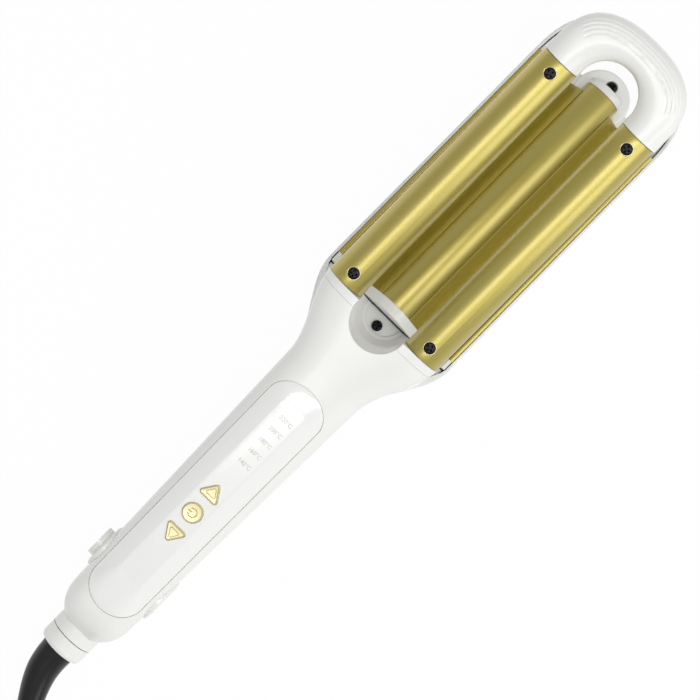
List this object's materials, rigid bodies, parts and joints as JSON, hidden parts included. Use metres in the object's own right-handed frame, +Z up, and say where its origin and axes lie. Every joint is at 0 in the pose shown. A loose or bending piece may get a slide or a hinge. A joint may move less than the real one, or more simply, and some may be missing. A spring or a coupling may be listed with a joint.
{
  "type": "hair waver",
  "caption": "Hinged hair waver: an upper arm with parallel heated barrels and a lower jaw with a barrel between wave troughs, with a cord swivel.",
  "frame": {"origin": "mount rest_face: in the middle of the flat back of the lower arm's jaw, on the surface that the tool lies on", "axes": "+X towards the tip along the rear arm, +Y to the lock button's side, +Z up"},
  "size_m": [0.5514, 0.1027, 0.1273],
  "materials": {
    "white_plastic": "satin white moulded plastic, glossier on the panel",
    "light_guide": "milky light guide",
    "gold_coating": "satin pale gold coating",
    "black_steel": "black screw steel",
    "spreader_aluminium": "extruded",
    "heater_ceramic": "ceramic",
    "board_laminate": "coated laminate",
    "black_plastic": "moulded",
    "bright_steel": "zinc plated",
    "brass": "polished",
    "plug_brass": "nickel plated",
    "black_rubber": "satin black PVC"
  },
  "bodies": {
    "front_arm": {"front_shell": "white_plastic", "tail_cover": "white_plastic", "front_inner_cover": "white_plastic", "control_panel": "white_plastic", "light_guide": "light_guide", "circuit_board": "board_laminate", "board_parts": "black_plastic", "tact_switches": "bright_steel", "status_leds": "light_guide", "barrel_carrier": "white_plastic", "left_barrel": "gold_coating", "right_barrel": "gold_coating", "left_spreader": "spreader_aluminium", "right_spreader": "spreader_aluminium", "left_heater": "heater_ceramic", "right_heater": "heater_ceramic", "tip_head": "white_plastic", "tip_head_base": "white_plastic", "barrel_screws": "black_steel", "head_screws": "black_steel", "front_cover_screws": "black_steel", "hinge_bushes": "white_plastic", "swivel_bearing": "bright_steel", "contact_springs": "brass", "front_leads": "black_rubber"},
    "rear_arm": {"rear_shell": "white_plastic", "rear_handle_cover": "white_plastic", "rear_neck_cover": "white_plastic", "rear_collar": "white_plastic", "wave_plate": "gold_coating", "middle_barrel": "gold_coating", "middle_spreader": "spreader_aluminium", "middle_heater": "heater_ceramic", "rear_tip_end": "white_plastic", "rear_screws": "black_steel", "rear_cover_screws": "black_steel", "hinge_frame": "bright_steel", "torsion_spring": "bright_steel", "rear_leads": "black_rubber"},
    "power_button": {"power_button": "gold_coating"},
    "up_button": {"up_button": "gold_coating"},
    "down_button": {"down_button": "gold_coating"},
    "lock_button": {"lock_button": "white_plastic"},
    "cord_swivel": {"swivel_collar": "white_plastic", "slip_rings": "brass", "cord_boot": "black_rubber", "cord_lead": "black_rubber", "cord_coil": "black_rubber", "cord_tail": "black_rubber", "cord_tie": "black_rubber", "plug_body": "black_plastic", "plug_pins": "plug_brass"}
  },
  "joints": [
    {"name": "arm_hinge", "type": "hinge", "parent": "front_arm", "child": "rear_arm", "pos_m": [-0.2365, 0, 0.026], "axis": [0, -1, 0], "range_deg": [0, 14.2], "stiffness_Nm_per_rad": 1.5, "springref_deg": -34.38, "deforming": ["torsion_spring"]},
    {"name": "lock_slide", "type": "slide", "parent": "front_arm", "child": "lock_button", "axis": [0, -1, 0], "range_m": [0, 0.003]},
    {"name": "power_button_press", "type": "slide", "parent": "front_arm", "child": "power_button", "axis": [0.247, 0, -0.969], "range_m": [0, 0.0005], "stiffness_N_per_m": 800, "springref_m": -0.002},
    {"name": "up_button_press", "type": "slide", "parent": "front_arm", "child": "up_button", "axis": [0.247, 0, -0.969], "range_m": [0, 0.0005], "stiffness_N_per_m": 800, "springref_m": -0.002},
    {"name": "down_button_press", "type": "slide", "parent": "front_arm", "child": "down_button", "axis": [0.247, 0, -0.969], "range_m": [0, 0.0005], "stiffness_N_per_m": 800, "springref_m": -0.002},
    {"name": "cord_swivel_turn", "type": "hinge", "parent": "front_arm", "child": "cord_swivel", "pos_m": [-0.2365, 0, 0.026], "axis": [0.969, 0, 0.247], "continuous": true}
  ]
}
